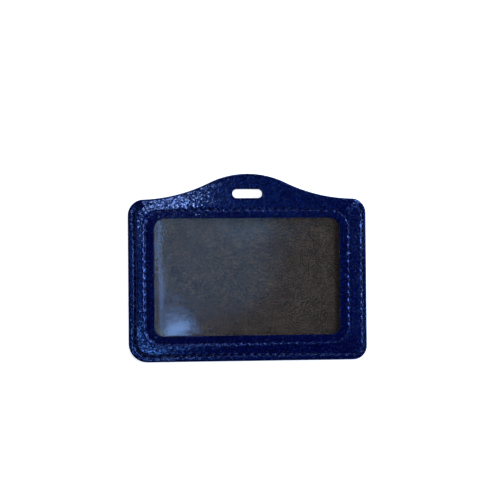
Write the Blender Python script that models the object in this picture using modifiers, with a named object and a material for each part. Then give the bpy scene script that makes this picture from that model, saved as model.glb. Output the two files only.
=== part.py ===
"""A horizontal card holder in stitched leatherette, with a clear window and a lanyard slot.

It lies on its back: +Z comes out of the window, +X runs along the long side and +Y points to the
arched top. The origin is the middle of the box's underside. Lengths are in metres.

The sheets are lofted along spokes. A spoke starts at the window's edge and runs out over the
window seam and the edge seam to the rim. A place on it is its station: 0 is the window's edge,
1 the window seam, 2 the edge seam and 3 the rim, and 1.5 is halfway between the two seams.
"""

import math

import bmesh
import bpy
from mathutils import Vector

# Window, which shows a standard card
window_width = 0.0856
window_height = 0.0541
window_corner_top = 0.0050
window_corner_bottom = 0.0040

# Outline of both panels, drawn round the window. The arch stands on the shoulders.
left_margin = 0.0120
right_margin = 0.0124
bottom_margin = 0.0119
top_margin = 0.0087
crown_rise = 0.0117
crown_radius = 0.03975
shoulder_flat = 0.00474
corner_top_left = 0.0073
corner_top_right = 0.0066
corner_bottom_left = 0.0087
corner_bottom_right = 0.0064

# Window seam, measured out from the window's edge
window_seam_left = 0.0039
window_seam_right = 0.0042
window_seam_bottom = 0.0037
window_seam_top = 0.0033

# Edge seam, measured in from the rim. Along the open top a hem of its own takes its place.
edge_seam_left = 0.0029
edge_seam_right = 0.0019
edge_seam_bottom = 0.0025
free_hem = 0.0024

# Lanyard slot, its middle measured down from the crown
slot_length = 0.0139
slot_width = 0.0043
slot_drop = 0.0091
slot_overrun = 0.002

# Layers, from the back to the front
cover_thickness = 0.0007
lining_thickness = 0.00025
card_gap = 0.0008
film_thickness = 0.0003
film_margin = 0.0034
pressed_foam = 0.0002
layer_gap = 0.00005
skin_gap = 0.0002

# Padding, as heights over or under the seams
border_puff = 0.0006
band_puff = 0.00175
tab_puff = 0.0008
tab_hem_rise = 0.00035
tab_edge_fall = 0.00035
lip_fall = 0.0001
rim_bead = 0.00018
rim_fall = 0.0002
back_rim_lift = 0.00035

# Thread
thread_diameter = 0.00034
thread_gap = 0.0001
stitch_pitch = 0.00365
stitch_arch = 0.00008

# Stations of each sheet's rows, and shares that shape the padding and the stitches
cover_rows_share = (0, 0.3, 0.6, 0.85, 1, 1.1, 1.25, 1.5, 1.75, 1.9, 2, 2.5, 3)
back_rows_share = (3, 2.5, 2.25, 2, 1.85, 1.7, 1.55)
lining_rows_share = (2.85, 2.5, 2.25, 2, 1.85, 1.7, 1.55)
foam_border_rows_share = (0.3, 0.6, 0.85, 1)
foam_band_rows_share = (0.133, 0.333, 0.667, 1)
foam_sewn_share = 1.75
foam_free_share = 2.5
border_crest_share = 0.65
puff_power_share = 1.2
seam_end_share = 0.42
slope_step_share = 0.08
stitch_shoulders_share = (0, 0.24, 0.76)
bobbin_shoulders_share = (0, 0.5)

# The sRGB curve
srgb_toe_share = 0.055
srgb_slope_share = 12.92
srgb_power_share = 2.4
srgb_knee_share = 0.04045

# Steps round each loop, and the angle from which an edge stays sharp
corner_steps = 8
bottom_steps = 6
side_steps = 3
arch_steps = 26
slot_end_steps = 8
sharp_angle = math.radians(40)

# Places that follow from the sizes above
panel_width = left_margin + window_width + right_margin
panel_height = bottom_margin + window_height + top_margin + crown_rise
rim_left = -panel_width / 2
rim_right = panel_width / 2
rim_bottom = -panel_height / 2
shoulder = panel_height / 2 - crown_rise
arch_reach = panel_width / 2 - shoulder_flat
window_left = rim_left + left_margin
window_right = rim_right - right_margin
window_bottom = rim_bottom + bottom_margin
window_top = shoulder - top_margin

# Heights that follow from the layers above
thread_room = thread_diameter + 2 * thread_gap + stitch_arch
lining_floor = cover_thickness + layer_gap
lining_top = lining_floor + lining_thickness
film_floor = lining_top + card_gap
film_top = film_floor + film_thickness
foam_floor = film_top + layer_gap
window_seam_height = foam_floor + pressed_foam + skin_gap + cover_thickness
edge_seam_height = thread_room + lining_top + skin_gap + cover_thickness
cutter_floor = -slot_overrun
cutter_top = window_seam_height + band_puff + slot_overrun


def arch(x):
    """The arched top edge: a round crown between two hollow flanks, flat past their reach."""
    flank_radius = (arch_reach**2 + crown_rise**2) / (2 * crown_rise) - crown_radius
    turn = arch_reach * crown_radius / (crown_radius + flank_radius)
    if abs(x) <= turn:
        return shoulder + crown_rise - crown_radius + math.sqrt(crown_radius**2 - x**2)
    short = max(arch_reach - abs(x), 0)
    return shoulder + flank_radius - math.sqrt(flank_radius**2 - short**2)


def line(start, end, steps):
    return [Vector(start).lerp(Vector(end), i / steps) for i in range(steps)]


def quarter(x, y, radius, turns):
    """A quarter circle run to the left, without its last point."""
    angles = [(turns + i / corner_steps) * math.pi / 2 for i in range(corner_steps)]
    return [Vector((x + radius * math.cos(a), y + radius * math.sin(a))) for a in angles]


def rounded_loop(left, right, bottom, top_edge, radii):
    """A loop run to the left from its bottom's left end. Its top follows top_edge(x)."""
    low_left, low_right, high_right, high_left = radii
    right_top = top_edge(right - high_right) - high_right
    left_top = top_edge(left + high_left) - high_left
    across = line((right - high_right, 0), (left + high_left, 0), arch_steps)
    return (
        line((left + low_left, bottom), (right - low_right, bottom), bottom_steps)
        + quarter(right - low_right, bottom + low_right, low_right, 3)
        + line((right, bottom + low_right), (right, right_top), side_steps)
        + quarter(right - high_right, right_top, high_right, 0)
        + [Vector((point.x, top_edge(point.x))) for point in across]
        + quarter(left + high_left, left_top, high_left, 1)
        + line((left, left_top), (left, bottom + low_left), side_steps)
        + quarter(left + low_left, bottom + low_left, low_left, 2)
    )


def rim_loop():
    radii = (corner_bottom_left, corner_bottom_right, corner_top_right, corner_top_left)
    return rounded_loop(rim_left, rim_right, rim_bottom, arch, radii)


def edge_seam_loop():
    radii = (
        corner_bottom_left - edge_seam_bottom,
        corner_bottom_right - edge_seam_bottom,
        corner_top_right - edge_seam_right,
        corner_top_left - edge_seam_left,
    )
    left = rim_left + edge_seam_left
    right = rim_right - edge_seam_right
    bottom = rim_bottom + edge_seam_bottom
    return rounded_loop(left, right, bottom, lambda x: arch(x) - free_hem, radii)


def window_loop(left_out, right_out, bottom_out, top_out):
    """The window's edge, grown by these amounts."""
    low = window_corner_bottom + bottom_out
    high = window_corner_top + top_out
    left = window_left - left_out
    right = window_right + right_out
    bottom = window_bottom - bottom_out
    return rounded_loop(left, right, bottom, lambda x: window_top + top_out, (low, low, high, high))


window_seam = (window_seam_left, window_seam_right, window_seam_bottom, window_seam_top)
loops = (window_loop(0, 0, 0, 0), window_loop(*window_seam), edge_seam_loop(), rim_loop())
spokes = range(len(loops[0]))
right_corner = bottom_steps + corner_steps + side_steps
left_corner = right_corner + corner_steps + arch_steps


def mix(first, second, share):
    return first + (second - first) * share


def smooth(share):
    share = min(max(share, 0), 1)
    return share * share * (3 - 2 * share)


def puff(share):
    return math.sin(math.pi * min(max(share, 0), 1)) ** puff_power_share


def hold(spoke):
    """1 where the edge seam holds the panels together, 0 along the open top."""
    into_right = (spoke - right_corner) / corner_steps
    into_left = (left_corner + corner_steps - spoke) / corner_steps
    return smooth((1 - min(max(into_right, 0), max(into_left, 0))) / (1 - seam_end_share))


def place(spoke, station):
    first = min(int(station), 2)
    return loops[first][spoke].lerp(loops[first + 1][spoke], station - first)


def cover_height(spoke, station):
    """Top of the front cover: a rolled border, a padded band and a low rim."""
    held = hold(spoke)
    hem = mix(window_seam_height + tab_hem_rise, edge_seam_height, held)
    if station <= 1:
        lip = window_seam_height - lip_fall * (1 - station)
        return lip + border_puff * puff(station**border_crest_share)
    if station <= 2:
        crest = mix(tab_puff, band_puff, held) * puff(station - 1)
        return mix(window_seam_height, hem, station - 1) + crest
    fall = mix(tab_edge_fall, rim_fall, held) * (station - 2) ** 2
    return hem + rim_bead * held * puff(station - 2) - fall


def back_height(spoke, station):
    """Underside of the back cover: flat, and drawn up where the edge seam holds it."""
    inner = back_rows_share[-1]
    if station <= 2:
        lift = thread_room * smooth((station - inner) / (2 - inner))
    else:
        lift = mix(thread_room, back_rim_lift, smooth(2 * (station - 2)))
    return hold(spoke) * lift


def upright(height, spoke, station, thickness):
    """How tall a layer of this thickness stands where it follows a slope."""
    step = slope_step_share
    before, after = max(station - step, 0), min(station + step, 3)
    run = (place(spoke, after) - place(spoke, before)).length
    rise = height(spoke, after) - height(spoke, before)
    return thickness * math.sqrt(1 + (rise / run) ** 2)


def lining_height(spoke, station):
    """Underside of the lining, which follows the back cover."""
    base = back_height(spoke, station)
    return base + upright(back_height, spoke, station, lining_floor)


def foam_height(spoke, station):
    """Top of the foam, which follows the front cover from inside."""
    under = upright(cover_height, spoke, station, cover_thickness + skin_gap)
    return max(cover_height(spoke, station) - under, foam_floor + pressed_foam)


def foam_edge(spoke):
    """The foam ends inside the edge seam, but runs out to the hem along the open top."""
    reach = foam_free_share - foam_sewn_share
    return foam_sewn_share + reach * (1 - hold(spoke)) ** 4


def row(station_of, height):
    stations = [station_of(spoke) for spoke in spokes]
    return [(*place(spoke, s), height(spoke, s)) for spoke, s in zip(spokes, stations)]


def level_rows(rows_share, height):
    return [row(lambda spoke, s=share: s, height) for share in rows_share]


def loft(name, rows, closed=False, filled=False):
    """A mesh through rows of equal count, joined end to end or with its last row filled."""
    build = bmesh.new()
    rings = [[build.verts.new(point) for point in points] for points in rows]
    followers = rings[1:] + rings[:1] if closed else rings[1:]
    for ring, follower in zip(rings, followers):
        for i in spokes:
            build.faces.new((ring[i - 1], follower[i - 1], follower[i], ring[i]))
    if filled:
        build.faces.new(reversed(rings[-1]))
    mesh = bpy.data.meshes.new(name)
    build.to_mesh(mesh)
    build.free()
    mesh.shade_smooth()
    return mesh


def linear(hex_colour):
    """A colour written as sRGB hex, as linear red, green and blue."""
    channels = [int(hex_colour[i : i + 2], 16) / 255 for i in (1, 3, 5)]
    return [
        ((c + srgb_toe_share) / (1 + srgb_toe_share)) ** srgb_power_share
        if c > srgb_knee_share
        else c / srgb_slope_share
        for c in channels
    ]


def material(name, hex_colour, roughness, clear=0.0):
    """A non-metal finish. Clear is the share of light that passes through."""
    finish = bpy.data.materials.new(name)
    finish.use_nodes = True
    shader = finish.node_tree.nodes["Principled BSDF"]
    shader.inputs["Base Color"].default_value = (*linear(hex_colour), 1)
    shader.inputs["Roughness"].default_value = roughness
    shader.inputs["Metallic"].default_value = 0
    shader.inputs["Transmission Weight"].default_value = clear
    return finish


def add(name, data, group, finish=None):
    item = bpy.data.objects.new(name, data)
    group.objects.link(item)
    if finish:
        data.materials.append(finish)
    return item


def thicken(item, thickness):
    """Grows a sheet away from its faces' normals."""
    shell = item.modifiers.new("thickness", "SOLIDIFY")
    shell.thickness = thickness
    shell.offset = -1


def punch(item, cutter):
    """Cuts the lanyard slot through a layer."""
    cut = item.modifiers.new("slot", "BOOLEAN")
    cut.operation = "DIFFERENCE"
    cut.solver = "EXACT"
    cut.object = cutter
    sharp = item.modifiers.new("cut_edges", "EDGE_SPLIT")
    sharp.split_angle = sharp_angle


def flat_curve(name, points, floor, top):
    """A flat closed outline with a thickness, as a filled curve."""
    curve = bpy.data.curves.new(name, "CURVE")
    curve.dimensions = "2D"
    curve.fill_mode = "BOTH"
    curve.extrude = (top - floor) / 2
    spline = curve.splines.new("POLY")
    spline.points.add(len(points) - 1)
    for spot, point in zip(spline.points, points):
        spot.co = (point.x, point.y, 0, 1)
    spline.use_cyclic_u = True
    return curve


def thread_curve(name, points, cyclic):
    curve = bpy.data.curves.new(name, "CURVE")
    curve.dimensions = "3D"
    curve.bevel_depth = thread_diameter / 2
    curve.bevel_resolution = 0
    curve.use_fill_caps = True
    spline = curve.splines.new("POLY")
    spline.points.add(len(points) - 1)
    for spot, point in zip(spline.points, points):
        spot.co = (*point, 1)
    spline.use_cyclic_u = cyclic
    return curve


def slot_outline():
    """A slot with round ends."""
    radius = slot_width / 2
    middle = panel_height / 2 - slot_drop
    reach = slot_length / 2 - radius
    steps = range(slot_end_steps + 1)
    points = []
    for side in (1, -1):
        for i in steps:
            angle = (i / slot_end_steps - 0.5) * math.pi
            x = side * (reach + radius * math.cos(angle))
            points.append(Vector((x, middle + side * radius * math.sin(angle))))
    return points


def make_slot_cutter(group):
    """The slot's punch, a welded mesh made from its curve."""
    curve = flat_curve("slot_outline", slot_outline(), cutter_floor, cutter_top)
    guide = add("slot_guide", curve, group)
    guide.location.z = (cutter_floor + cutter_top) / 2
    bpy.context.view_layer.update()
    evaluated = guide.evaluated_get(bpy.context.evaluated_depsgraph_get())
    mesh = bpy.data.meshes.new_from_object(evaluated)
    build = bmesh.new()
    build.from_mesh(mesh)
    bmesh.ops.remove_doubles(build, verts=build.verts, dist=layer_gap / 10)
    bmesh.ops.recalc_face_normals(build, faces=build.faces)
    build.to_mesh(mesh)
    build.free()
    cutter = add("slot_punch", mesh, group)
    cutter.matrix_world = guide.matrix_world.copy()
    cutter.hide_render = True
    cutter.display_type = "WIRE"
    bpy.data.objects.remove(guide)
    return cutter


def seam_points(start, end, loop):
    """The loop's points from one place to another, each a spoke's number and a share of a step."""
    count = len(loop)

    def at(place_on_loop):
        whole = math.floor(place_on_loop)
        share = place_on_loop - whole
        return loop[whole % count].lerp(loop[(whole + 1) % count], share)

    inside = range(math.floor(start) + 1, math.ceil(end))
    return [at(start)] + [loop[i % count] for i in inside] + [at(end)]


def walk(points, distance):
    """The point that lies this far along a run of points."""
    for start, end in zip(points, points[1:]):
        run = (end - start).length
        if distance <= run:
            return start.lerp(end, distance / run)
        distance -= run
    return points[-1]


def stitches(points, low, high, shoulders_share, cyclic):
    """A thread's points: down at each needle hole and up between the holes."""
    length = sum((end - start).length for start, end in zip(points, points[1:]))
    count = round(length / stitch_pitch)
    pitch = length / count
    thread = []
    for i in range(count):
        for share in shoulders_share:
            point = walk(points, (i + share) * pitch)
            thread.append((*point, high if share else low))
    if not cyclic:
        thread.append((*points[-1], low))
    return thread


def make_window_threads(group, finish):
    run = seam_points(0, len(loops[1]), loops[1])
    above = window_seam_height + thread_gap + thread_diameter / 2
    below = film_floor - thread_gap - thread_diameter / 2
    needle = stitches(run, above, above + stitch_arch, stitch_shoulders_share, True)
    bobbin = stitches(run, below, below - stitch_arch, bobbin_shoulders_share, True)
    add("window_needle_thread", thread_curve("window_needle_thread", needle, True), group, finish)
    add("window_bobbin_thread", thread_curve("window_bobbin_thread", bobbin, True), group, finish)


def make_edge_threads(group, finish):
    start = left_corner + (1 - seam_end_share) * corner_steps
    end = right_corner + seam_end_share * corner_steps + len(loops[2])
    run = seam_points(start, end, loops[2])
    above = edge_seam_height + thread_gap + thread_diameter / 2
    below = thread_room - thread_gap - thread_diameter / 2
    needle = stitches(run, above, above + stitch_arch, stitch_shoulders_share, False)
    bobbin = stitches(run, below, below - stitch_arch, bobbin_shoulders_share, False)
    add("edge_needle_thread", thread_curve("edge_needle_thread", needle, False), group, finish)
    add("edge_bobbin_thread", thread_curve("edge_bobbin_thread", bobbin, False), group, finish)


def make_front_cover(group, cutter, finish):
    """One skin, lofted from the window's edge over both seams to the rim."""
    rows = level_rows(cover_rows_share, cover_height)
    cover = add("front_cover", loft("front_cover", rows), group, finish)
    thicken(cover, cover_thickness)
    punch(cover, cutter)


def make_front_padding(group, cutter, finish):
    """A foam sheet that fills the front cover's puff and lies flat on the film."""
    rows = level_rows(foam_border_rows_share, foam_height)
    for share in foam_band_rows_share:
        rows.append(row(lambda spoke, s=share: mix(1, foam_edge(spoke), s), foam_height))
    floor_rows = [[(x, y, foam_floor) for x, y, _ in rows[i]] for i in (-1, 0)]
    foam = loft("front_padding", rows + floor_rows, closed=True)
    punch(add("front_padding", foam, group, finish), cutter)


def make_window_film(group, finish):
    """A clear sheet, a margin wider than the window seam that holds it."""
    outline = window_loop(*(out + film_margin for out in window_seam))
    curve = flat_curve("window_film", outline, film_floor, film_top)
    film = add("window_film", curve, group, finish)
    film.location.z = (film_floor + film_top) / 2


def make_back(name, rows_share, height, thickness, group, cutter, finish):
    rows = level_rows(rows_share, height)
    sheet = add(name, loft(name, rows, filled=True), group, finish)
    thicken(sheet, thickness)
    punch(sheet, cutter)


def make_holder():
    for item in list(bpy.data.objects):
        bpy.data.objects.remove(item)
    scene = bpy.context.scene.collection
    holder = bpy.data.collections.new("id_holder")
    cutters = bpy.data.collections.new("cutters")
    scene.children.link(holder)
    scene.children.link(cutters)
    cutter = make_slot_cutter(cutters)
    make_front_cover(holder, cutter, material("navy_leatherette_front", "#182858", 0.42))
    make_front_padding(holder, cutter, material("charcoal_foam", "#2B2B30", 0.95))
    make_window_film(holder, material("clear_vinyl_film", "#DDE4EA", 0.12, clear=0.9))
    lining = material("grey_fibre_lining", "#4A4844", 0.9)
    back = material("navy_leatherette_back", "#16244F", 0.45)
    make_back(
        "back_lining", lining_rows_share, lining_height, lining_thickness, holder, cutter, lining
    )
    make_back("back_cover", back_rows_share, back_height, cover_thickness, holder, cutter, back)
    make_window_threads(holder, material("navy_window_thread", "#141F4C", 0.5))
    make_edge_threads(holder, material("navy_edge_thread", "#121C46", 0.5))


make_holder()
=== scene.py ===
"""The dressed id holder: embossed leatherette over foam, sewn to a clear window and a lined back.

It lies on its back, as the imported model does: +Z comes out of the window, +X runs along the long
side and +Y points to the arched top. Lengths are in metres.

Every sheet but the film is lofted along spokes, which run out from the window's edge to the rim. A
place on a spoke is its station: 0 the window's edge, 1 the window seam, 2 the edge seam, 3 the rim.
"""

import math

import bpy
import numpy as np
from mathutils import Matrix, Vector


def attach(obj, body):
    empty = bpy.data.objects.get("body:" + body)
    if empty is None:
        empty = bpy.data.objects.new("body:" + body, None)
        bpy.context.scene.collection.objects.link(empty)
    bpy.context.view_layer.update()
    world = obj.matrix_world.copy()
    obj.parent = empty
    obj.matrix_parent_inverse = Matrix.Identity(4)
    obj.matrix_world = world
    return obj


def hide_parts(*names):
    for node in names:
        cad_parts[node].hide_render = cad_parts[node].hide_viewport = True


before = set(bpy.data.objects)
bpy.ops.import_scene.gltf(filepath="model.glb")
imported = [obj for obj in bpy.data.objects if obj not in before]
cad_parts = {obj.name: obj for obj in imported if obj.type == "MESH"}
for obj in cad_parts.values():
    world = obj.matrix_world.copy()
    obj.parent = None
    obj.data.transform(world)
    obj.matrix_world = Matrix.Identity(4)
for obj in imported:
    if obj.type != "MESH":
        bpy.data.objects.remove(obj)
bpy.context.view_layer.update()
scene = bpy.context.scene

# The model's own sizes, as in the part's source
window_width = 0.0856
window_height = 0.0541
window_corner_top = 0.0050
window_corner_bottom = 0.0040
left_margin = 0.0120
right_margin = 0.0124
bottom_margin = 0.0119
top_margin = 0.0087
crown_rise = 0.0117
crown_radius = 0.03975
shoulder_flat = 0.00474
corner_top_left = 0.0073
corner_top_right = 0.0066
corner_bottom_left = 0.0087
corner_bottom_right = 0.0064
window_seam_left = 0.0039
window_seam_right = 0.0042
window_seam_bottom = 0.0037
window_seam_top = 0.0033
edge_seam_left = 0.0029
edge_seam_right = 0.0019
edge_seam_bottom = 0.0025
free_hem = 0.0024
slot_length = 0.0139
slot_width = 0.0043
slot_drop = 0.0091
cover_thickness = 0.0007
lining_thickness = 0.00025
card_gap = 0.0008
film_thickness = 0.0003
film_margin = 0.0034
pressed_foam = 0.0002
layer_gap = 0.00005
skin_gap = 0.0002
band_puff = 0.00175
tab_hem_rise = 0.00035
tab_edge_fall = 0.00035
rim_fall = 0.0002
back_rim_lift = 0.00035
thread_diameter = 0.00034
thread_gap = 0.0001
stitch_pitch = 0.00365
stitch_arch = 0.00008
seam_end_share = 0.42
back_inner_station = 1.55

# How the foam fills the skin, as rises over the seams and the run that each takes
tab_puff = 0.00033
wall_slope = 0.54
wall_run = 0.00060
wall_ease_side = 0.00150
wall_ease_bottom = 0.00060
outer_wall_run = 0.00140
thin_fill = 0.00016
thin_run = 0.00200
padding_shoulder = 0.00065
border_rise_left = 0.00070
border_rise_right = 0.00008
rim_rise = 0.00042
rim_shoulder = 0.00050
shoulder_power = 1.5
rim_fall_power = 6

# Where the foam starts and ends, and the room under the skin past it
foam_start_station = 0.14
foam_end_sewn = 1.75
foam_end_tab = 2.5
foam_end_power = 4
foam_hold_station = 1.6
lining_clearance = 0.0004

# What the needle and the punch do to the skins
pull_spread = 0.25
dimple_depth = 0.00020
dimple_along = 0.00085
dimple_across = 0.00042
dimple_outward = 0.00030
tab_dimple_size = 1.8
groove_depth = 0.00020
groove_share_right = 0.85
groove_share_between = 0.25
edge_groove_left = 0.00028
edge_groove_right = 0.00014
groove_reach = 0.00055
tuck = 0.00045
tuck_round = 0.00020
back_dimple_depth = 0.00022
back_dimple_zone = 0.0040
slot_press = 0.00016
slot_press_reach = 0.00045
foam_slot_clearance = 0.0001
lining_slot_clearance = 0.00005
cut_round = 0.00022
cut_round_rows = 5
under_round = 0.00008
under_round_rows = 3
crease_angle = math.radians(50)

# The slow waviness of the front skin, which fades out toward the rim
waviness = 0.00007
wave_end_station = 3.2
wave_fade_stations = 0.5

# How the held film lies, and the steps across and up it
film_swell = 0.00016
film_sag = 0.00007
film_edge_run = 0.0032
film_ripple = 0.00004
film_ripple_stretch = 0.6
film_bulge = 0.00006
film_bulge_place = (-0.0240, -0.0200)
film_bulge_reach = 0.0110
film_across = 130
film_up = 84

# The threads' plies, how they dive into the needle holes and how far they sink into the skins
thread_sides = 12
rings_each_stitch = 20
ply_twist = 0.0011
ply_groove = 0.16
plies = 3
hole_depth = 0.00055
hole_reach = 0.00070
needle_thread_share = 0.35
bobbin_thread_share = 0.4

# Steps round each loop
corner_steps = 26
bottom_steps = 236
side_steps = 118
arch_steps = 250
slot_end_steps = 20

# Grain, fibres and fuzz, and how strongly the pebbles are turned
pebble_width = 0.00065
pebble_height = 0.00001
facet_tilt = 0.165
shade_drift = 0.022
fibre_width = 0.0008
fibre_lay = 1.3
fibre_clump = 0.0042
foam_cell = 0.00035
thread_fuzz = 0.00022
haze_patch = 0.01667
card_tooth = 0.001111

# The camera and the floor
camera_place = (-0.01869, 0.00427, 0.40112)
camera_turn = (0.5612, -2.8303, -0.5234)
camera_lens = 62.22
camera_sensor = 36
floor_half = 0.9
floor_steps = 12
floor_drop = 0.00004
floor_glow = 0.82

# Places that follow from the sizes above
panel_width = left_margin + window_width + right_margin
panel_height = bottom_margin + window_height + top_margin + crown_rise
rim_left = -panel_width / 2
rim_right = panel_width / 2
rim_bottom = -panel_height / 2
shoulder = panel_height / 2 - crown_rise
arch_reach = panel_width / 2 - shoulder_flat
window_left = rim_left + left_margin
window_right = rim_right - right_margin
window_bottom = rim_bottom + bottom_margin
window_top = shoulder - top_margin
slot_radius = slot_width / 2
slot_reach = slot_length / 2 - slot_radius
slot_middle = panel_height / 2 - slot_drop
thread_room = thread_diameter + 2 * thread_gap + stitch_arch
lining_floor = cover_thickness + layer_gap
lining_top = lining_floor + lining_thickness
film_floor = lining_top + card_gap
film_top = film_floor + film_thickness
foam_floor = film_top + layer_gap
window_seam_height = foam_floor + pressed_foam + skin_gap + cover_thickness
edge_seam_height = thread_room + lining_top + skin_gap + cover_thickness

chance = np.random.default_rng(7)


# Outlines


def arch(x):
    """The arched top edge: a round crown between two hollow flanks, flat past their reach."""
    flank_radius = (arch_reach**2 + crown_rise**2) / (2 * crown_rise) - crown_radius
    turn = arch_reach * crown_radius / (crown_radius + flank_radius)
    crown = crown_rise - crown_radius + np.sqrt(np.maximum(crown_radius**2 - x**2, 0))
    short = np.maximum(arch_reach - np.abs(x), 0)
    flank = flank_radius - np.sqrt(flank_radius**2 - short**2)
    return shoulder + np.where(np.abs(x) <= turn, crown, flank)


def line(start, end, steps):
    """A straight run, without its last point."""
    share = np.arange(steps)[:, None] / steps
    return np.array(start) + (np.array(end) - np.array(start)) * share


def quarter(x, y, radius, turns):
    """A quarter circle run to the left, without its last point."""
    angle = (turns + np.arange(corner_steps) / corner_steps) * math.pi / 2
    return np.stack([x + radius * np.cos(angle), y + radius * np.sin(angle)], axis=1)


def rounded_loop(left, right, bottom, top_edge, radii):
    """A loop run to the left from its bottom's left end. Its top follows top_edge(x)."""
    low_left, low_right, high_right, high_left = radii
    right_top = float(top_edge(right - high_right)) - high_right
    left_top = float(top_edge(left + high_left)) - high_left
    across = line((right - high_right, 0), (left + high_left, 0), arch_steps)
    across[:, 1] = top_edge(across[:, 0])
    return np.concatenate([
        line((left + low_left, bottom), (right - low_right, bottom), bottom_steps),
        quarter(right - low_right, bottom + low_right, low_right, 3),
        line((right, bottom + low_right), (right, right_top), side_steps),
        quarter(right - high_right, right_top, high_right, 0),
        across,
        quarter(left + high_left, left_top, high_left, 1),
        line((left, left_top), (left, bottom + low_left), side_steps),
        quarter(left + low_left, bottom + low_left, low_left, 2),
    ])


def window_loop(left_out, right_out, bottom_out, top_out):
    """The window's edge, grown by these amounts."""
    low, high = window_corner_bottom + bottom_out, window_corner_top + top_out
    return rounded_loop(
        window_left - left_out,
        window_right + right_out,
        window_bottom - bottom_out,
        lambda x: window_top + top_out + 0 * x,
        (low, low, high, high),
    )


def edge_seam_loop():
    """The edge seam's line, and along the arched top the line of the free hem."""
    radii = (
        corner_bottom_left - edge_seam_bottom,
        corner_bottom_right - edge_seam_bottom,
        corner_top_right - edge_seam_right,
        corner_top_left - edge_seam_left,
    )
    left, right = rim_left + edge_seam_left, rim_right - edge_seam_right
    bottom = rim_bottom + edge_seam_bottom
    return rounded_loop(left, right, bottom, lambda x: arch(x) - free_hem, radii)


window_seam = (window_seam_left, window_seam_right, window_seam_bottom, window_seam_top)
rim_radii = (corner_bottom_left, corner_bottom_right, corner_top_right, corner_top_left)
loops = np.array([
    window_loop(0, 0, 0, 0),
    window_loop(*window_seam),
    edge_seam_loop(),
    rounded_loop(rim_left, rim_right, rim_bottom, arch, rim_radii),
])
count = loops.shape[1]
spoke = np.arange(count)
right_corner = bottom_steps + corner_steps + side_steps
left_corner = right_corner + corner_steps + arch_steps
strip_run, band_run, rim_run = np.linalg.norm(loops[1:] - loops[:-1], axis=2)


def outward(loop):
    """The unit normals of a loop that runs to the left."""
    along = np.roll(loop, -1, axis=0) - np.roll(loop, 1, axis=0)
    side = np.stack([along[:, 1], -along[:, 0]], axis=1)
    return side / np.linalg.norm(side, axis=1, keepdims=True)


def arc(loop):
    """How far round a loop each of its points lies, and the loop's whole length."""
    step = np.linalg.norm(np.roll(loop, -1, axis=0) - loop, axis=1)
    return np.concatenate([[0], np.cumsum(step)[:-1]]), step.sum()


# Seams: how far each spoke lies from the nearest needle hole


def smooth(share):
    """A share from 0 to 1 that starts and ends gently."""
    share = np.clip(share, 0, 1)
    return share * share * (3 - 2 * share)


def mix(first, second, share):
    """The first value at share 0 and the second at share 1."""
    return first + (second - first) * share


def plump(out, reach):
    """How full the padding is this far from a seam: 0 at the seam and 1 past its reach."""
    return 1 - np.exp(-((np.maximum(out, 0) / reach) ** shoulder_power))


# From 0 to 1, how far each spoke is sewn at the edge, lies to the right and lies at the bottom
into_right = np.clip((spoke - right_corner) / corner_steps, 0, None)
into_left = np.clip((left_corner + corner_steps - spoke) / corner_steps, 0, None)
held = smooth((1 - np.minimum(into_right, into_left)) / (1 - seam_end_share))
to_right = smooth((loops[1][:, 0] - window_left) / window_width)
to_bottom = smooth((spoke - (count - corner_steps)) / corner_steps) + (spoke < bottom_steps)

window_arc, window_length = arc(loops[1])
window_stitches = round(window_length / stitch_pitch)
window_pitch = window_length / window_stitches
window_hole = np.rint(window_arc / window_pitch).astype(int)
window_off = window_arc - window_hole * window_pitch

edge_arc, edge_round = arc(loops[2])
edge_start = int(left_corner + (1 - seam_end_share) * corner_steps)
edge_end = int(right_corner + seam_end_share * corner_steps)
edge_arc = (edge_arc - edge_arc[edge_start]) % edge_round
edge_length = edge_arc[edge_end]
edge_stitches = round(edge_length / stitch_pitch)
edge_pitch = edge_length / edge_stitches
edge_hole = np.clip(np.rint(edge_arc / edge_pitch), 0, edge_stitches).astype(int)
edge_off = edge_arc - edge_hole * edge_pitch
before_start = np.abs(edge_arc - edge_round) < np.abs(edge_off)
edge_hole = np.where(before_start, 0, edge_hole)
edge_off = np.where(before_start, edge_arc - edge_round, edge_off)
past_end = np.maximum(np.minimum(edge_arc - edge_length, edge_round - edge_arc), 0)
edge_sewn = np.exp(-((past_end / dimple_along) ** 2))

window_pull = 1 + pull_spread * chance.uniform(-1, 1, window_stitches + 1)
window_pull[-1] = window_pull[0]
edge_pull = 1 + pull_spread * chance.uniform(-1, 1, edge_stitches + 1)


def place(station):
    """The points at a station, which is one number or one for each spoke."""
    station = np.broadcast_to(station, count)
    first = np.minimum(station.astype(int), 2)
    share = (station - first)[:, None]
    return loops[first, spoke] * (1 - share) + loops[first + 1, spoke] * share


def from_window_seam(station):
    """Metres out from the window seam, and less than 0 inside it."""
    return np.where(station < 1, (station - 1) * strip_run, (station - 1) * band_run)


def from_edge_seam(station):
    """Metres out from the edge seam, and less than 0 inside it."""
    return np.where(station < 2, (station - 2) * band_run, (station - 2) * rim_run)


def dimple(off, out, outward_by, pull, size=1.0):
    """The hollow that a stitch pulls round its needle hole."""
    along = (off / dimple_along) ** 2
    across = ((out - outward_by * size) / (dimple_across * size)) ** 2
    return size * pull * np.exp(-along - across)


def groove(off, pitch, out, pull):
    """The furrow along a seam, deep at its needle holes and shallow between them."""
    near_hole = (0.5 + 0.5 * np.cos(2 * math.pi * off / pitch)) ** 2
    return pull * mix(groove_share_between, 1, near_hole) * np.exp(-((out / groove_reach) ** 2))


def tucked(off, pitch, out, pull):
    """Metres out from a seam as the padding feels them: each stitch holds it back, in scallops."""
    hold = tuck * pull * (0.5 + 0.5 * np.cos(2 * math.pi * off / pitch))
    start, here = -hold, out - hold
    return (here - start + np.hypot(here, tuck_round) - np.hypot(start, tuck_round)) / 2


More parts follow.
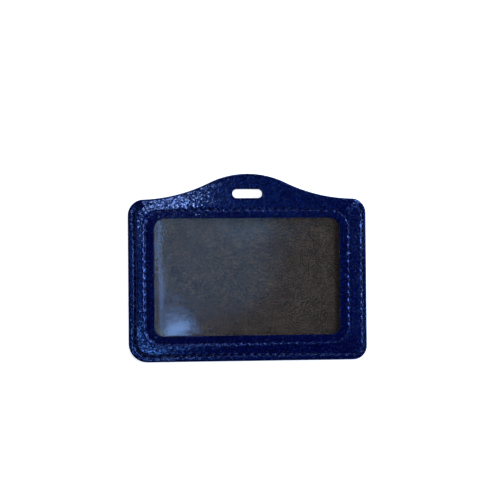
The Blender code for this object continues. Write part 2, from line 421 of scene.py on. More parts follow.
def cushion_wall(out):
    """How far the padding has risen off the window seam: an even wall that eases to a level top."""
    ease = mix(wall_ease_side, wall_ease_bottom, to_bottom)
    eased = np.clip(out - wall_run, 0, ease)
    return wall_slope * (np.clip(out, 0, wall_run) + eased - eased**2 / (2 * ease))


def ripple(points):
    """Slow unevenness of a hand-fed sheet, from -1 to 1, in crossed waves of 13 to 50 mm."""
    x, y = points[..., 0] * 1000, points[..., 1] * 1000
    waves = np.sin(0.21 * x + 0.13 * y + 1.3) + np.sin(0.34 * y - 0.11 * x + 0.4)
    return (waves + np.sin(0.47 * x + 2.1) * np.sin(0.39 * y + 0.7)) / 3


def slot_outline(grow=0.0):
    """The lanyard slot: straight sides and round ends."""
    radius = slot_radius + grow
    angle = (np.arange(slot_end_steps + 1) / slot_end_steps - 0.5) * math.pi
    end = np.stack([slot_reach + radius * np.cos(angle), radius * np.sin(angle)], 1)
    return np.concatenate([end, -end]) + [0, slot_middle]


def from_slot(points):
    """Metres from the slot's edge, and less than 0 inside it."""
    dx = np.maximum(np.abs(points[..., 0]) - slot_reach, 0)
    dy = points[..., 1] - slot_middle
    return np.hypot(dx, dy) - slot_radius


# Heights of the layers


def front_height(station):
    """Top of the front cover: a rolled border, a padded band and a low rim, drawn in by both seams."""
    station = np.broadcast_to(station, count)
    out = from_window_seam(station)
    inward = -from_edge_seam(station)
    stitch_pull, edge_stitch_pull = window_pull[window_hole], edge_pull[edge_hole]
    size = mix(tab_dimple_size, 1, held)
    window_held = tucked(window_off, window_pitch, out, stitch_pull * size)
    edge_held = tucked(edge_off, edge_pitch, inward, edge_stitch_pull)
    rolled = mix(border_rise_left, border_rise_right, to_right)
    border = window_seam_height + rolled * np.clip(1 - station, 0, 1)
    tab_rise = tab_hem_rise + tab_puff
    hem = mix(window_seam_height + tab_rise, edge_seam_height, held)
    thin = thin_fill * (1 - np.clip(1 - out / thin_run, 0, 1) ** 2)
    padded = mix(cushion_wall(window_held), thin, to_right)
    rise = mix(tab_rise * plump(window_held, padding_shoulder), padded, held)
    full = 1 - np.clip(1 - edge_held / outer_wall_run, 0, 1) ** 2
    outer_wall = mix(full, np.clip(inward / band_run, 0, 1), to_right)
    band = mix(hem, window_seam_height + rise, outer_wall)
    fall = mix(tab_edge_fall, rim_fall, held) * np.maximum(station - 2, 0) ** rim_fall_power
    rim = hem + held * rim_rise * plump(-inward, rim_shoulder) - fall
    height = np.where(station <= 1, border, np.where(station <= 2, band, rim))

    window_depth = groove_depth * mix(1, groove_share_right, to_right)
    height = height - window_depth * groove(window_off, window_pitch, out, stitch_pull)
    height -= dimple_depth * dimple(window_off, out, dimple_outward, stitch_pull, size)
    edge_depth = edge_sewn * mix(edge_groove_left, edge_groove_right, to_right)
    height -= edge_depth * groove(edge_off, edge_pitch, inward, edge_stitch_pull)
    sewn_dimple = dimple(edge_off, inward, dimple_outward, edge_stitch_pull)
    height -= dimple_depth * edge_sewn * (1 - to_right) * sewn_dimple

    points = place(station)
    height -= slot_press * np.exp(-((np.maximum(from_slot(points), 0) / slot_press_reach) ** 2))
    free = smooth(np.minimum(station, 1)) * smooth((wave_end_station - station) / wave_fade_stations)
    return height + waviness * free * ripple(points)


def front_under(station):
    """Underside of the front cover, its thickness in from the top and never under what it lies on."""
    step = 0.05
    further, nearer = np.minimum(station + step, 3), np.maximum(station - step, 0)
    rise = front_height(further) - front_height(nearer)
    run = np.linalg.norm(place(further) - place(nearer), axis=1)
    upright = cover_thickness * np.sqrt(1 + (rise / run) ** 2)
    on_foam = foam_floor + 2 * layer_gap
    on_lining = lining_under(station) + lining_clearance
    floor = np.where(station < foam_hold_station, on_foam, on_lining)
    floor = np.where(held < 0.5, on_foam, floor)
    return np.maximum(front_height(station) - upright, floor)


def back_under(station, sewing=1.0):
    """Underside of the back cover: flat, and drawn up where the edge seam holds it. With sewing at 0
    it has no dimples."""
    station = np.broadcast_to(station, count)
    inner = smooth((station - back_inner_station) / (2 - back_inner_station))
    outer = mix(thread_room, back_rim_lift, smooth(2 * (station - 2)))
    lift = held * np.where(station <= 2, thread_room * inner, outer)
    out = from_edge_seam(station)
    hollow = dimple(edge_off, out, 0, edge_pull[edge_hole]) * (out > -back_dimple_zone)
    return lift + sewing * back_dimple_depth * edge_sewn * hollow


def lining_under(station):
    """Underside of the lining, which lies on the back cover."""
    return back_under(station, 0.0) + lining_floor + 2 * layer_gap


# Meshes


def mesh_from(name, points, faces):
    """A mesh of these points and faces."""
    mesh = bpy.data.meshes.new(name)
    mesh.from_pydata(points.tolist(), [], faces)
    mesh.validate()
    mesh.update()
    return mesh


def ring_faces(rings, closed):
    """Quads between rows of equal count. The rows run out from the middle, seen from above."""
    faces = []
    pairs = rings if closed else rings - 1
    for r in range(pairs):
        low, high = r * count, ((r + 1) % rings) * count
        for i in range(count):
            j = (i + 1) % count
            faces.append((low + i, high + i, high + j, low + j))
    return faces


def grid_faces(across, up):
    """The quads of a grid of points, row by row, seen from above."""
    faces = []
    for j in range(up):
        for i in range(across):
            a = j * (across + 1) + i
            faces.append((a, a + 1, a + across + 2, a + across + 1))
    return faces


def loft(name, rows, capped=False):
    """A closed body from rows of points: a ring of rows, or a stack with a flat face at each end."""
    points = np.concatenate(rows)
    faces = ring_faces(len(rows), closed=not capped)
    if capped:
        faces.append(tuple(range(count)))
        faces.append(tuple(reversed(range((len(rows) - 1) * count, len(rows) * count))))
    return mesh_from(name, points, faces)


def lifted(points, height):
    """Flat points at a height, which is one number or one for each."""
    height = np.broadcast_to(height, len(points))
    return np.column_stack([points, height])


def cut_edge(outline, facing, top, bottom):
    """Rows down a cut edge, rounded at its top and a little at its foot."""
    rows = []
    for turn in np.linspace(0, math.pi / 2, cut_round_rows):
        out = facing * (math.sin(turn) - 1) * cut_round
        rows.append(lifted(outline + out, top - cut_round * (1 - math.cos(turn))))
    rows.append(lifted(outline, mix(top - cut_round, bottom + under_round, 0.5)))
    for turn in np.linspace(0, math.pi / 2, under_round_rows):
        out = facing * (math.cos(turn) - 1) * under_round
        rows.append(lifted(outline + out, bottom + under_round * (1 - math.sin(turn))))
    return rows


def stations(*runs):
    """Stations from runs of (start, end, steps), each without its end."""
    return np.concatenate([np.linspace(a, b, n, endpoint=False) for a, b, n in runs])


def add(name, mesh, finish):
    """An object of this mesh, in its finish."""
    piece = bpy.data.objects.new(name, mesh)
    scene.collection.objects.link(piece)
    mesh.materials.append(finish)
    return piece


def dress(piece, solid):
    """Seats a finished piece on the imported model, in place of its solid."""
    piece.data.shade_smooth()
    piece.data.set_sharp_from_angle(angle=crease_angle)
    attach(piece, "root")
    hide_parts(solid)
    return piece


def punch(piece, grow=0.0):
    """Cuts the lanyard slot through a sheet."""
    outline = slot_outline(grow)
    sides = len(outline)
    reach = 2 * (window_seam_height + band_puff)
    points = np.concatenate([lifted(outline, -reach), lifted(outline, reach)])
    faces = [tuple(reversed(range(sides))), tuple(range(sides, 2 * sides))]
    for i in range(sides):
        j = (i + 1) % sides
        faces.append((i, j, sides + j, sides + i))
    die = bpy.data.objects.new("slot_die", mesh_from("slot_die", points, faces))
    scene.collection.objects.link(die)
    cut = piece.modifiers.new("slot", "BOOLEAN")
    cut.operation = "DIFFERENCE"
    cut.solver = "EXACT"
    cut.object = die
    bpy.context.view_layer.update()
    cut_shape = piece.evaluated_get(bpy.context.evaluated_depsgraph_get())
    punched = bpy.data.meshes.new_from_object(cut_shape)
    plain = piece.data
    piece.modifiers.clear()
    piece.data = punched
    punched.name = plain.name
    bpy.data.meshes.remove(plain)
    bpy.data.objects.remove(die)


# Materials


def linear(hex_colour):
    """A colour written as sRGB hex, as linear red, green and blue."""
    channels = [int(hex_colour[i : i + 2], 16) / 255 for i in (1, 3, 5)]
    rgb = [c / 12.92 if c <= 0.04045 else ((c + 0.055) / 1.055) ** 2.4 for c in channels]
    return (*rgb, 1)


def grey(level):
    """A linear grey."""
    return (level, level, level, 1)


def node(tree, kind, inputs=None, stops=(), **settings):
    """Adds one node with its settings and links. An input is a value or another node's output, and
    stops are the places and colours of a colour ramp."""
    made = tree.nodes.new("ShaderNode" + kind)
    for name, value in settings.items():
        setattr(made, name, value)
    for key, value in (inputs or {}).items():
        if isinstance(value, bpy.types.NodeSocket):
            tree.links.new(value, made.inputs[key])
        else:
            made.inputs[key].default_value = value
    elements = made.color_ramp.elements if stops else []
    while len(elements) < len(stops):
        elements.new(0.5)
    for element, (spot, colour) in zip(elements, stops):
        element.position = spot
        element.color = colour
    return made


def new_material(name):
    """A material without nodes, and its node tree."""
    finish = bpy.data.materials.new(name)
    finish.use_nodes = True
    finish.node_tree.nodes.clear()
    return finish, finish.node_tree


# A colour mix has its share at input 0 and its two colours at 6 and 7


def embossed_leatherette(name, light, deep, painted_crease_shade, painted_glint_colour, polish):
    """Polyurethane skin on knitted backing, rolled with a pebble grain. Some pebbles are polished
    by wear and glint, and their neighbours stay dull and dark. The polished pebbles' tops are also
    painted lighter, a painted glint, and the hollows between pebbles are painted darker, a painted
    shade. Each pebble leans its own way, so a lamp's haze breaks into specks. Real pebbles are about
    0.5 mm, drawn coarser to show."""
    finish, tree = new_material(name)
    where = node(tree, "TexCoord").outputs["Object"]
    pebbles = node(tree, "TexVoronoi", {"Vector": where, "Scale": 1 / pebble_width}, feature="F1")
    drift = node(tree, "TexNoise", {"Vector": where, "Scale": 1 / shade_drift, "Detail": 3})
    chosen = node(tree, "SeparateColor", {"Color": pebbles.outputs["Color"]})
    spread = node(
        tree,
        "VectorMath",
        {0: where, 1: pebbles.outputs["Position"]},
        operation="SUBTRACT",
    )
    lean = node(
        tree,
        "VectorMath",
        {0: pebbles.outputs["Color"], 1: (0.5, 0.5, 0.5)},
        operation="SUBTRACT",
    )
    facet = node(
        tree,
        "VectorMath",
        {0: spread.outputs["Vector"], 1: lean.outputs["Vector"]},
        operation="DOT_PRODUCT",
    )
    tilted = node(tree, "Math", {0: facet.outputs["Value"], 1: facet_tilt}, operation="MULTIPLY")
    dome = node(
        tree,
        "MapRange",
        {
            "Value": pebbles.outputs["Distance"],
            "From Min": 0.15,
            "From Max": 0.7,
            "To Min": 1,
            "To Max": 0,
        },
    )
    stand = node(tree, "MapRange", {"Value": chosen.outputs["Green"], "To Min": 0.4, "To Max": 1})
    relief = node(
        tree,
        "Math",
        {0: dome.outputs["Result"], 1: stand.outputs["Result"]},
        operation="MULTIPLY",
    )
    raised = node(
        tree,
        "Math",
        {0: relief.outputs[0], 1: pebble_height, 2: tilted.outputs[0]},
        operation="MULTIPLY_ADD",
    )
    tone = node(
        tree,
        "ValToRGB",
        {"Fac": drift.outputs["Fac"]},
        [(0.35, linear(deep)), (0.65, linear(light))],
    )
    shine = node(
        tree,
        "ValToRGB",
        {"Fac": chosen.outputs["Red"]},
        [(0.35, grey(0.0)), (0.95, grey(1.0))],
    )
    tip = node(
        tree,
        "Math",
        {0: shine.outputs["Color"], 1: relief.outputs[0]},
        operation="MULTIPLY",
    )
    # Darker toward the bottom of each hollow between pebbles: a painted shade in the creases
    hollow = node(
        tree,
        "ValToRGB",
        {"Fac": dome.outputs["Result"]},
        [(0.0, grey(0.9)), (0.45, grey(0.0))],
    )
    shade_painted_in_creases = node(
        tree,
        "Mix",
        {0: hollow.outputs["Color"], 6: tone.outputs["Color"], 7: linear(painted_crease_shade)},
        data_type="RGBA",
    )
    # Polished pebble tops are mixed toward a lighter colour: a painted glint
    colour = node(
        tree,
        "Mix",
        {0: tip.outputs[0], 6: shade_painted_in_creases.outputs[2], 7: linear(painted_glint_colour)},
        data_type="RGBA",
    )
    rough = node(
        tree,
        "MapRange",
        {"Value": tip.outputs[0], "From Max": 0.8, "To Min": polish + 0.06, "To Max": polish},
    )
    bump = node(tree, "Bump", {"Height": raised.outputs[0], "Strength": 1.0, "Distance": 1.0})
    skin = node(
        tree,
        "BsdfPrincipled",
        {
            "Base Color": colour.outputs[2],
            "Roughness": rough.outputs["Result"],
            "Normal": bump.outputs["Normal"],
            "IOR": 1.5,
            "Specular IOR Level": 0.8,
            "Specular Tint": linear("#88ACFF"),
        },
    )
    node(tree, "OutputMaterial", {"Surface": skin.outputs[0]})
    return finish


def clear_vinyl():
    """Soft PVC sheet, calendered: clear and glossy, with a faint haze from handling."""
    finish, tree = new_material("clear_pvc_film")
    where = node(tree, "TexCoord").outputs["Object"]
    haze = node(tree, "TexNoise", {"Vector": where, "Scale": 1 / haze_patch, "Detail": 4})
    rough = node(tree, "MapRange", {"Value": haze.outputs["Fac"], "To Min": 0.09, "To Max": 0.13})
    sheet = node(
        tree,
        "BsdfPrincipled",
        {
            "Base Color": linear("#F2F6FA"),
            "Roughness": rough.outputs["Result"],
            "IOR": 1.53,
            "Transmission Weight": 1.0,
        },
    )
    pass_lamps = node(tree, "BsdfTransparent", {"Color": linear("#EEF0F1")})
    path = node(tree, "LightPath")
    both = node(
        tree,
        "MixShader",
        {0: path.outputs["Is Shadow Ray"], 1: sheet.outputs[0], 2: pass_lamps.outputs[0]},
    )
    node(tree, "OutputMaterial", {"Surface": both.outputs[0]})
    return finish


def fibre_lining():
    """Spunbonded nonwoven: short grey fibres pressed flat, matt, with darker and lighter clumps.
    Real fibres are about 0.02 mm, drawn coarser to show."""
    finish, tree = new_material("grey_nonwoven_lining")
    where = node(tree, "TexCoord").outputs["Object"]
    clumps = node(tree, "TexNoise", {"Vector": where, "Scale": 1 / fibre_clump, "Detail": 3})
    laid = node(tree, "VectorMath", {0: where, 1: (1.0, fibre_lay, 1.0)}, operation="MULTIPLY")
    fibres = node(
        tree,
        "TexNoise",
        {"Vector": laid.outputs["Vector"], "Scale": 1 / fibre_width, "Detail": 1, "Distortion": 0.6},
    )
    matted = node(
        tree,
        "ValToRGB",
        {"Fac": clumps.outputs["Fac"]},
        [(0.36, linear("#33251A")), (0.64, linear("#403024"))],
    )
    strands = node(
        tree,
        "ValToRGB",
        {"Fac": fibres.outputs["Fac"]},
        [(0.34, grey(0.25)), (0.5, grey(0.85)), (0.66, grey(2.2))],
    )
    colour = node(
        tree,
        "Mix",
        {0: 1.0, 6: matted.outputs["Color"], 7: strands.outputs["Color"]},
        data_type="RGBA",
        blend_type="MULTIPLY",
    )
    bump = node(tree, "Bump", {"Height": fibres.outputs["Fac"], "Strength": 0.6, "Distance": 0.00006})
    felt = node(
        tree,
        "BsdfPrincipled",
        {
            "Base Color": colour.outputs[2],
            "Roughness": 0.92,
            "Normal": bump.outputs["Normal"],
            "Specular IOR Level": 0.12,
        },
    )
    node(tree, "OutputMaterial", {"Surface": felt.outputs[0]})
    return finish


def cut_foam():
    """Polyurethane foam, knife cut: charcoal, with open cells of about 0.35 mm, dead matt. The cells'
    middles are painted darker, a painted shade in the pores.
    """
    finish, tree = new_material("charcoal_cut_foam")
    where = node(tree, "TexCoord").outputs["Object"]
    cells = node(tree, "TexVoronoi", {"Vector": where, "Scale": 1 / foam_cell})
    # Darker toward each cell's middle, where the bump is lowest: painted shade in the open pores
    colour = node(
        tree,
        "ValToRGB",
        {"Fac": cells.outputs["Distance"]},
        [(0.1, linear("#17171B")), (0.7, linear("#3A3A42"))],
    )
    bump = node(tree, "Bump", {"Height": cells.outputs["Distance"], "Strength": 0.8, "Distance": 0.0001})
    foam = node(
        tree,
        "BsdfPrincipled",
        {
            "Base Color": colour.outputs["Color"],
            "Roughness": 0.95,
            "Normal": bump.outputs["Normal"],
        },
    )
    node(tree, "OutputMaterial", {"Surface": foam.outputs[0]})
    return finish


def bonded_thread(name, light, deep):
    """Twisted polyester sewing thread, bonded: navy, with a low gloss on each ply. Real filaments are
    about 0.02 mm, drawn coarser to show."""
    finish, tree = new_material(name)
    where = node(tree, "TexCoord").outputs["Object"]
    fuzz = node(tree, "TexNoise", {"Vector": where, "Scale": 1 / thread_fuzz, "Detail": 3})
    colour = node(
        tree,
        "ValToRGB",
        {"Fac": fuzz.outputs["Fac"]},
        [(0.35, linear(deep)), (0.65, linear(light))],
    )
    bump = node(tree, "Bump", {"Height": fuzz.outputs["Fac"], "Strength": 0.4, "Distance": 0.00003})
    ply = node(
        tree,
        "BsdfPrincipled",
        {
            "Base Color": colour.outputs["Color"],
            "Roughness": 0.24,
            "Normal": bump.outputs["Normal"],
            "Specular IOR Level": 0.7,
        },
    )
    node(tree, "OutputMaterial", {"Surface": ply.outputs[0]})
    return finish


# Pieces


def make_front_cover(finish):
    """The skin over the foam, with its cut edges at the window, the rim and the slot."""
    top = stations(
        (0.09, 0.85, 11), (0.85, 1.12, 9), (1.12, 1.85, 26), (1.85, 2.12, 9), (2.12, 2.92, 9)
    )
    rows = [lifted(place(s), front_height(s)) for s in top]
    rows += cut_edge(loops[3], outward(loops[3]), front_height(3.0), front_under(3.0))
    under = stations((2.9, 2.1, 3), (2.1, 1.9, 3), (1.9, 1.1, 7), (1.1, 0.9, 3), (0.9, 0.1, 4))
    rows += [lifted(place(s), front_under(s)) for s in under]
    lip = cut_edge(loops[0], -outward(loops[0]), front_height(0.0), front_under(0.0))
    rows += reversed(lip)
    piece = add("padded_front_cover", loft("padded_front_cover", rows), finish)
    punch(piece)
    dress(piece, "front_cover")


def make_foam(finish):
    """The foam under the front cover, pressed flat by the seams. Its flat floor needs fewer rows."""
    end = mix(foam_end_tab, foam_end_sewn, 1 - (1 - held) ** foam_end_power)
    top_rows, floor_rows = [], []
    for share in stations((0, 0.28, 5), (0.28, 0.40, 4), (0.40, 1, 9)):
        station = mix(foam_start_station, end, share)
        roof = np.maximum(front_under(station) - layer_gap / 2, foam_floor + layer_gap)
        top_rows.append(lifted(place(station), roof))
        floor_rows.append(lifted(place(station), foam_floor))
    rows = top_rows + floor_rows[::-3]
    piece = add("frame_foam", loft("frame_foam", rows), finish)
    punch(piece, grow=foam_slot_clearance)
    dress(piece, "front_padding")


def make_film(finish):
    """The clear window: a soft sheet held by its seam all round, so it lies in slow waves."""
    left = window_left - window_seam_left - film_margin
    right = window_right + window_seam_right + film_margin
    bottom = window_bottom - window_seam_bottom - film_margin
    top = window_top + window_seam_top + film_margin
    x = np.linspace(left, right, film_across + 1)
    y = np.linspace(bottom, top, film_up + 1)
    grid_x, grid_y = np.meshgrid(x, y)
    radius = window_corner_bottom + window_seam_bottom + film_margin
    for side_x, side_y in ((left, bottom), (right, bottom), (right, top), (left, top)):
        # The grid's points near this corner are drawn in from its square onto its round
        near_x = 1 - np.abs(grid_x - side_x) / radius
        near_y = 1 - np.abs(grid_y - side_y) / radius
        corner = (near_x > 0) & (near_y > 0)
        round_x = near_x * np.sqrt(1 - np.clip(near_y, 0, 1) ** 2 / 2)
        round_y = near_y * np.sqrt(1 - np.clip(near_x, 0, 1) ** 2 / 2)
        grid_x = np.where(corner, side_x - np.sign(side_x) * radius * (1 - round_x), grid_x)
        grid_y = np.where(corner, side_y - np.sign(side_y) * radius * (1 - round_y), grid_y)
    points = np.stack([grid_x, grid_y], axis=-1).reshape(-1, 2)
    height = film_floor + film_wave(points)
    layer = len(points)
    both = np.concatenate([lifted(points, height), lifted(points, height + film_thickness)])
    faces = []
    for a, b, c, d in grid_faces(film_across, film_up):
        faces.append((layer + a, layer + b, layer + c, layer + d))
        faces.append((d, c, b, a))
    row = film_across + 1
    ring = list(range(film_across))
    ring += [j * row + film_across for j in range(film_up)]
    ring += [film_up * row + i for i in range(film_across, 0, -1)]
    ring += [j * row for j in range(film_up, 0, -1)]
    for a, b in zip(ring, ring[1:] + ring[:1]):
        faces.append((a, b, layer + b, layer + a))
    mesh = mesh_from("clear_window", both, faces)
    piece = dress(add("clear_window", mesh, finish), "window_film")


def film_wave(points):
    """How the held film swells off its left edge, sags from its top edge and bulges by a corner."""
    x, y = points[:, 0], points[:, 1]
    runs = (x - window_left, window_right - x, y - window_bottom, window_top - y)
    free_left, free_right, free_low, free_high = (
        np.tanh(np.maximum(run, 0) / film_edge_run) for run in runs
    )
    away = np.hypot(x - film_bulge_place[0], y - film_bulge_place[1]) / film_bulge_reach
    bulge = film_bulge * np.exp(-(away**2)) * free_low
    loose = free_left * free_right * free_low * free_high
    waves = film_ripple * loose * ripple(points * film_ripple_stretch)
    return film_swell * free_left - film_sag * free_high + bulge + waves


def inner_rows(height):
    """Rows that carry a sheet from the window's edge to a small level middle."""
    centre = loops[0].mean(axis=0)
    spine = np.column_stack([
        np.clip(loops[0][:, 0], -window_height / 4, window_height / 4),
        np.full(count, centre[1]),
    ])
    return [lifted(mix(loops[0], spine, share), height) for share in (0.9, 0.6, 0.3, 0.0)]


def make_lining(finish):
    """The grey sheet behind the card, a little short of the rim."""
    outer = stations((0.6, 1.5, 3), (1.5, 2.85, 16))
    top, under = inner_rows(lining_top), inner_rows(lining_floor)
    for station in outer:
        top.append(lifted(place(station), lining_under(station) + lining_thickness - 2 * layer_gap))
        under.append(lifted(place(station), lining_under(station) - 2 * layer_gap))
    rows = top + under[::-1]
    piece = add("grey_lining", loft("grey_lining", rows, capped=True), finish)
    punch(piece, grow=lining_slot_clearance)
    dress(piece, "back_lining")


def make_back(finish):
    """The plain back, with the lower thread's row of dimples."""
    outer = stations((0.6, 1.5, 3), (1.5, 1.85, 6), (1.85, 2.15, 14), (2.15, 2.92, 6))
    rows = inner_rows(0.0) + [lifted(place(s), back_under(s)) for s in outer]
    edge = cut_edge(loops[3], outward(loops[3]), back_under(3.0) + cover_thickness, back_under(3.0))
    rows += edge[::-1]
    inside = stations((2.9, 2.2, 4), (2.2, 1.5, 8), (1.5, 0.6, 3))
    rows += [lifted(place(s), back_under(s, 0.0) + cover_thickness) for s in inside]
    rows += inner_rows(cover_thickness)[::-1]
    mesh = loft("back_panel", rows, capped=True)
    mesh.flip_normals()
    piece = add("back_panel", mesh, finish)
    punch(piece)
    dress(piece, "back_cover")


def make_thread(name, solid, seam, height, up, finish):
    """A three-ply thread that bridges from hole to hole and dives into each one. Its seam is a loop
    and how far round it each point lies, the length, pitch and stitches sewn, and if it meets itself.
    The needle's thread bridges up and the bobbin's down."""
    loop, arcs, length, pitch, stitches, meets = seam
    steps = stitches * rings_each_stitch + (0 if meets else 1)
    along = np.arange(steps) * pitch / rings_each_stitch
    order = np.argsort(arcs)
    known, points = arcs[order], loop[order]
    if meets:
        known = np.append(known, length)
        points = np.vstack([points, points[:1]])
    xy = np.column_stack([np.interp(along, known, points[:, k]) for k in (0, 1)])
    ahead = np.roll(xy, -1, axis=0) if meets else np.vstack([xy[1:], 2 * xy[-1:] - xy[-2:-1]])
    behind = np.roll(xy, 1, axis=0) if meets else np.vstack([2 * xy[:1] - xy[1:2], xy[:-1]])
    off = np.abs((along / pitch + 0.5) % 1 - 0.5) * pitch
    bridge = stitch_arch * np.sin(math.pi * (along / pitch % 1))
    dive = hole_depth * np.exp(-((off / hole_reach) ** 2))
    centre = height + up * (bridge - dive)
    slope = np.gradient(centre, pitch / rings_each_stitch)
    tangent = (ahead - behind) / np.linalg.norm(ahead - behind, axis=1, keepdims=True)
    tangent = np.column_stack([tangent, slope])
    tangent /= np.linalg.norm(tangent, axis=1, keepdims=True)
    side = np.column_stack([tangent[:, 1], -tangent[:, 0], np.zeros(steps)])
    side /= np.linalg.norm(side, axis=1, keepdims=True)
    normal = np.cross(side, tangent)
    angle = 2 * math.pi * np.arange(thread_sides) / thread_sides
    twist = 2 * math.pi * along / ply_twist
    lobe = np.abs(np.cos(plies / 2 * (angle[None, :] - twist[:, None])))
    radius = thread_diameter / 2 * (1 - ply_groove + ply_groove * lobe)
    core = np.column_stack([xy, centre])
    rings = (
        core[:, None, :]
        + radius[:, :, None] * np.cos(angle)[None, :, None] * side[:, None, :]
        + radius[:, :, None] * np.sin(angle)[None, :, None] * normal[:, None, :]
    )
    faces = []
    for r in range(steps if meets else steps - 1):
        low, high = r * thread_sides, ((r + 1) % steps) * thread_sides
        for i in range(thread_sides):
            j = (i + 1) % thread_sides
            faces.append((low + i, low + j, high + j, high + i))
    if not meets:
        faces.append(tuple(reversed(range(thread_sides))))
        faces.append(tuple(range((steps - 1) * thread_sides, steps * thread_sides)))
    mesh = mesh_from(name, rings.reshape(-1, 3), faces)
    dress(add(name, mesh, finish), solid)


def make_threads(window_finish, edge_finish):
    """The needle's and the bobbin's thread of both seams."""
    window = (loops[1], window_arc, window_length, window_pitch, window_stitches, True)
    over_window = window_seam_height + thread_diameter * needle_thread_share - groove_depth
    under_window = film_floor - thread_gap - thread_diameter / 2
    make_thread(
        "window_seam_top_thread", "window_needle_thread", window, over_window, 1, window_finish
    )
    make_thread(
        "window_seam_under_thread", "window_bobbin_thread", window, under_window, -1, window_finish
    )
    edge = (loops[2], edge_arc, edge_length, edge_pitch, edge_stitches, False)
    over_edge = edge_seam_height + thread_diameter * needle_thread_share - edge_groove_right
    under_edge = thread_room - thread_diameter * bobbin_thread_share
    make_thread("edge_seam_top_thread", "edge_needle_thread", edge, over_edge, 1, edge_finish)
    make_thread("edge_seam_under_thread", "edge_bobbin_thread", edge, under_edge, -1, edge_finish)


# The studio


def make_camera():
    """The camera, as fitted to the holder's outline in the photograph."""
    data = bpy.data.cameras.new("photo_camera")
    data.sensor_width = camera_sensor
    data.lens = camera_lens
    data.clip_start, data.clip_end = 0.01, 10
    camera = bpy.data.objects.new("photo_camera", data)
    camera.location = camera_place
    camera.rotation_euler = [math.radians(angle) for angle in camera_turn]
    scene.collection.objects.link(camera)
    scene.camera = camera


def make_floor():
    """A pale board under the holder: white to the eye, and a little darker in its shadow."""
    finish, tree = new_material("white_card_floor")
    where = node(tree, "TexCoord").outputs["Object"]
    tooth = node(tree, "TexNoise", {"Vector": where, "Scale": 1 / card_tooth, "Detail": 3})
    colour = node(
        tree,
        "ValToRGB",
        {"Fac": tooth.outputs["Fac"]},
        [(0.3, linear("#F1F1F1")), (0.7, linear("#F6F6F6"))],
    )
    card = node(tree, "BsdfDiffuse", {"Color": colour.outputs["Color"]})
    glow = node(tree, "Emission", {"Color": grey(1), "Strength": floor_glow})
    seen = node(tree, "LightPath")
    either = node(
        tree,
        "Math",
        {0: seen.outputs["Is Camera Ray"], 1: seen.outputs["Is Transmission Ray"]},
        operation="MAXIMUM",
    )
    both = node(tree, "AddShader", {0: card.outputs[0], 1: glow.outputs[0]})
    shown = node(tree, "MixShader", {0: either.outputs[0], 1: card.outputs[0], 2: both.outputs[0]})
    node(tree, "OutputMaterial", {"Surface": shown.outputs[0]})
    edge = np.linspace(-floor_half, floor_half, floor_steps + 1)
    gx, gy = np.meshgrid(edge, edge)
    points = lifted(np.column_stack([gx.ravel(), gy.ravel()]), -floor_drop)
    mesh = mesh_from("white_card", points, grid_faces(floor_steps, floor_steps))
    floor = add("white_card", mesh, finish)


def make_lamp(name, place_at, size, share, colour):
    """A soft oval lamp aimed at the holder. Its size is given round the holder and then toward it,
    and its share is of the light that a level sheet gets."""
    spot = Vector(place_at)
    data = bpy.data.lights.new(name, "AREA")
    data.shape = "ELLIPSE"
    data.size, data.size_y = size
    data.energy = share * math.pi**2 * spot.length**3 / spot.z
    data.color = linear(colour)[:3]
    lamp = bpy.data.objects.new(name, data)
    lamp.location = spot
    lamp.rotation_euler = (-spot).to_track_quat("-Z", "Y").to_euler()
    scene.collection.objects.link(lamp)


def from_angles(azimuth, elevation, distance):
    """A place that far from the holder. Azimuth 0 is at its right and 90 at its top."""
    around, up = math.radians(azimuth), math.radians(elevation)
    level = distance * math.cos(up)
    return level * math.cos(around), level * math.sin(around), distance * math.sin(up)


def make_air():
    """A studio that is nearly dark to the holder and white to the camera."""
    world = bpy.data.worlds.new("studio_air")
    world.use_nodes = True
    air = world.node_tree
    air.nodes.clear()
    dim = node(air, "Background", {"Color": linear("#EEF2FA"), "Strength": 0.005})
    white = node(air, "Background", {"Color": grey(1), "Strength": 1.0})
    seen = node(air, "LightPath")
    sky = node(
        air,
        "MixShader",
        {0: seen.outputs["Is Camera Ray"], 1: dim.outputs[0], 2: white.outputs[0]},
    )
    node(air, "OutputWorld", {"Surface": sky.outputs[0]})
    scene.world = world


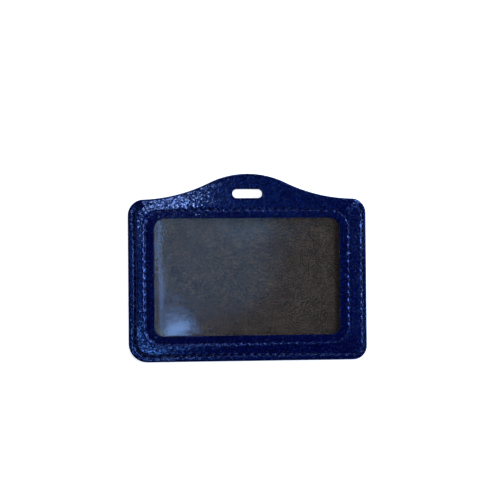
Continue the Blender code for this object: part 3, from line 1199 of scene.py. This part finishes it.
def make_lights():
    """Soft window light from the right, and small lamps and panels whose haze shows on the skin and
    in the film. Lamps near the skin give a haze that stays in one place."""
    make_lamp("window_light", from_angles(8, 38, 0.8), (0.45, 0.17), 0.42, "#BCD8FF")
    make_lamp("window_light_far", from_angles(50, 38, 0.8), (0.30, 0.20), 0.20, "#BCD8FF")
    make_lamp("window_light_near", from_angles(-24, 38, 0.8), (0.24, 0.12), 0.07, "#BCD8FF")
    make_lamp("top_fill", from_angles(100, 30, 0.9), (0.4, 0.4), 0.07, "#C8DAFF")
    make_lamp("left_fill", from_angles(180, 8, 0.9), (0.5, 0.15), 0.007, "#C8DAFF")
    make_lamp("front_fill", from_angles(290, 24, 0.9), (0.4, 0.4), 0.06, "#C8DAFF")
    make_lamp("shoulder_lamp", (-0.0420, 0.0436, 0.11), (0.018, 0.018), 0.145, "#FFFFFF")
    make_lamp("crown_panel", (0.020, 0.085, 0.69), (0.16, 0.08), 0.0075, "#74BFFF")
    make_lamp("high_corner_lamp", (-0.105, 0.062, 0.69), (0.034, 0.030), 0.005, "#74BFFF")
    make_lamp("low_corner_lamp", (-0.0512, -0.0487, 0.11), (0.012, 0.012), 0.050, "#B5E7FF")
    make_lamp("cool_softbox", (-0.118, -0.019, 0.69), (0.128, 0.028), 0.0082, "#7FB2FF")
    make_lamp("corner_lamp", (-0.064, -0.092, 0.69), (0.028, 0.034), 0.0080, "#7FB2FF")
    make_lamp("sky_panel", (-0.016, -0.002, 0.69), (0.13, 0.17), 0.0060, "#74BFFF")


def make_holder():
    """The nine pieces in their finishes. The back's leatherette is the duller one."""
    # Each leatherette gets two random tones, the painted shade in its creases, the painted glint colour
    # of its polished pebble tops, and its polish
    front = embossed_leatherette(
        "navy_embossed_leatherette", "#010538", "#010430", "#010224", "#020A4E", 0.13
    )
    back = embossed_leatherette(
        "navy_back_leatherette", "#010538", "#010432", "#010226", "#02094A", 0.20
    )
    make_back(back)
    make_lining(fibre_lining())
    make_film(clear_vinyl())
    make_foam(cut_foam())
    make_front_cover(front)
    make_threads(
        bonded_thread("navy_window_thread_twist", "#0C1A5C", "#050C38"),
        bonded_thread("navy_edge_thread_twist", "#0B1856", "#050B34"),
    )


scene.view_settings.view_transform = "Standard"
make_camera()
make_floor()
make_air()
make_lights()
make_holder()
